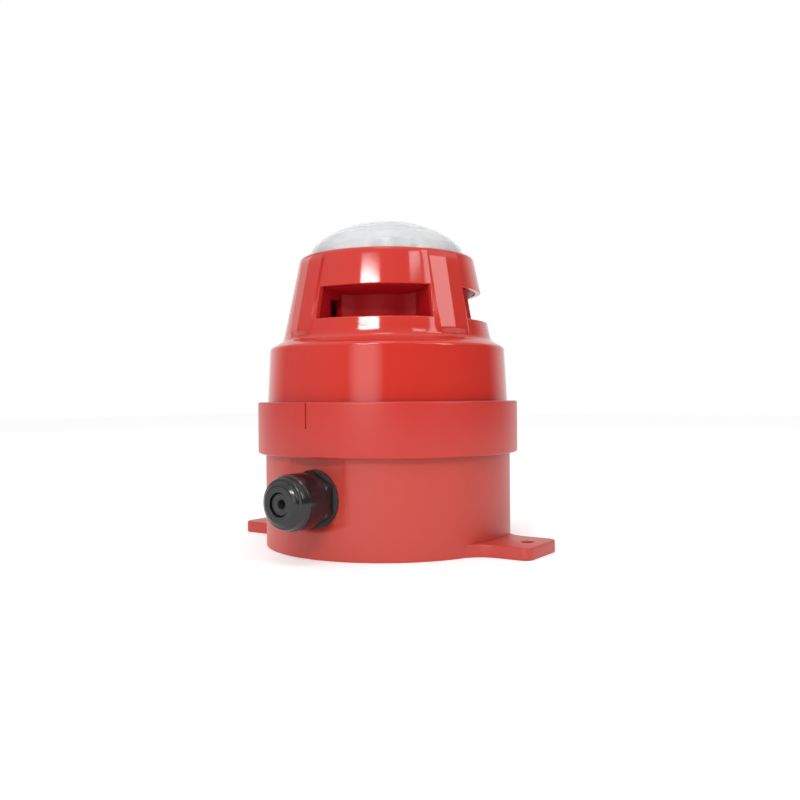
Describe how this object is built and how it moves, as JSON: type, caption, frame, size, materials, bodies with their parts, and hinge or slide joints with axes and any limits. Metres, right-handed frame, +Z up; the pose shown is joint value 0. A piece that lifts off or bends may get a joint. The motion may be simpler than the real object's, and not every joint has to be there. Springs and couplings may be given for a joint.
{
  "type": "horn strobe",
  "caption": "Surface-mounted alarm: round base with two lugs and a cable gland, locking ring, tapered horn tower and clear beacon lens",
  "frame": {"origin": "centre of the base's underside, on the axis of the round housing", "axes": "+Z up along the housing's axis towards the beacon; fixing lugs along X; cable gland faces -Y"},
  "size_m": [0.16, 0.1392, 0.1509],
  "materials": {
    "matt_red": "moulded, light grain",
    "gloss_red": "moulded, glossy",
    "black_nylon": "moulded nylon",
    "rubber": "matt",
    "clear_lens": "clear prismatic polycarbonate",
    "circuit_board": "solder resist",
    "terminal_green": "moulded",
    "component_blue": "moulded",
    "white_plastic": "moulded",
    "zinc_steel": "zinc plated",
    "ferrite": "sintered",
    "copper": "enamelled winding",
    "film": "phenolic film",
    "reflector": "bright",
    "flash_glass": "clear"
  },
  "bodies": {
    "base": {"base_housing": "matt_red", "base_gasket": "rubber", "terminal_board": "circuit_board", "terminal_board_screw_1": "zinc_steel", "terminal_board_screw_2": "zinc_steel", "terminal_board_screw_3": "zinc_steel", "terminal_block_supply": "terminal_green", "terminal_block_control": "terminal_green", "terminal_screw_1": "zinc_steel", "terminal_screw_2": "zinc_steel", "terminal_screw_3": "zinc_steel", "terminal_screw_4": "zinc_steel", "dip_switch_body": "component_blue", "volume_trimmer_body": "component_blue", "interconnect_socket": "black_nylon", "gland_washer": "rubber", "gland_body": "black_nylon", "gland_locknut": "black_nylon"},
    "dip_slider_1": {"dip_slider_1": "white_plastic"},
    "dip_slider_2": {"dip_slider_2": "white_plastic"},
    "dip_slider_3": {"dip_slider_3": "white_plastic"},
    "dip_slider_4": {"dip_slider_4": "white_plastic"},
    "dip_slider_5": {"dip_slider_5": "white_plastic"},
    "trimmer_rotor": {"volume_trimmer_rotor": "white_plastic"},
    "gland_seal": {"gland_seal": "rubber"},
    "gland_nut": {"gland_dome_nut": "black_nylon"},
    "head": {"head_housing": "gloss_red", "horn_insert": "gloss_red", "driver_frame": "black_nylon", "driver_magnet": "ferrite", "driver_yoke": "zinc_steel", "driver_top_plate": "zinc_steel", "head_board": "circuit_board", "flash_capacitor": "black_nylon", "driver_transformer": "component_blue", "interconnect_plug": "white_plastic", "beacon_tray": "white_plastic", "strobe_board": "circuit_board", "reflector": "reflector", "flash_tube": "flash_glass", "trigger_coil": "copper", "lens": "clear_lens", "lens_gasket": "rubber", "beacon_lead": "white_plastic", "driver_lead": "black_nylon", "horn_screw_1": "zinc_steel", "driver_screw_1": "zinc_steel", "board_screw_1": "zinc_steel", "board_spacer_1": "zinc_steel", "horn_screw_2": "zinc_steel", "driver_screw_2": "zinc_steel", "board_screw_2": "zinc_steel", "board_spacer_2": "zinc_steel", "horn_screw_3": "zinc_steel", "driver_screw_3": "zinc_steel", "board_screw_3": "zinc_steel", "board_spacer_3": "zinc_steel"},
    "diaphragm": {"diaphragm": "film", "voice_coil": "copper"},
    "locking_ring": {"locking_ring": "matt_red"}
  },
  "joints": [
    {"name": "ring_turn", "type": "hinge", "parent": "head", "child": "locking_ring", "pos_m": [0, 0, 0.0546], "axis": [0, 0, 1], "range_deg": [0, 1081]},
    {"name": "head_rise", "type": "slide", "parent": "base", "child": "head", "axis": [0, 0, 1], "range_m": [0, 0.012]},
    {"name": "gland_nut_turn", "type": "hinge", "parent": "gland_seal", "child": "gland_nut", "pos_m": [0, -0.055, 0.0253], "axis": [0, -1, 0], "range_deg": [0, 1441]},
    {"name": "gland_seal_travel", "type": "slide", "parent": "base", "child": "gland_seal", "axis": [0, -1, 0], "range_m": [0, 0.006]},
    {"name": "dip_switch_1", "type": "slide", "parent": "base", "child": "dip_slider_1", "axis": [0, 1, 0], "range_m": [0, 0.002]},
    {"name": "dip_switch_2", "type": "slide", "parent": "base", "child": "dip_slider_2", "axis": [0, 1, 0], "range_m": [0, 0.002]},
    {"name": "dip_switch_3", "type": "slide", "parent": "base", "child": "dip_slider_3", "axis": [0, 1, 0], "range_m": [0, 0.002]},
    {"name": "dip_switch_4", "type": "slide", "parent": "base", "child": "dip_slider_4", "axis": [0, 1, 0], "range_m": [0, 0.002]},
    {"name": "dip_switch_5", "type": "slide", "parent": "base", "child": "dip_slider_5", "axis": [0, 1, 0], "range_m": [0, 0.002]},
    {"name": "volume_turn", "type": "hinge", "parent": "base", "child": "trimmer_rotor", "pos_m": [0.016, 0.008, 0.0185], "axis": [0, 0, 1], "range_deg": [-270, 0]},
    {"name": "diaphragm_stroke", "type": "slide", "parent": "head", "child": "diaphragm", "axis": [0, 0, 1], "range_m": [-0.0003, 0.0003], "stiffness_N_per_m": 2000}
  ],
  "couplings": [
    {"joint": "ring_turn", "follows": "head_rise", "rad_per_m": 1570.8},
    {"joint": "gland_nut_turn", "follows": "gland_seal_travel", "rad_per_m": 4188.8}
  ]
}
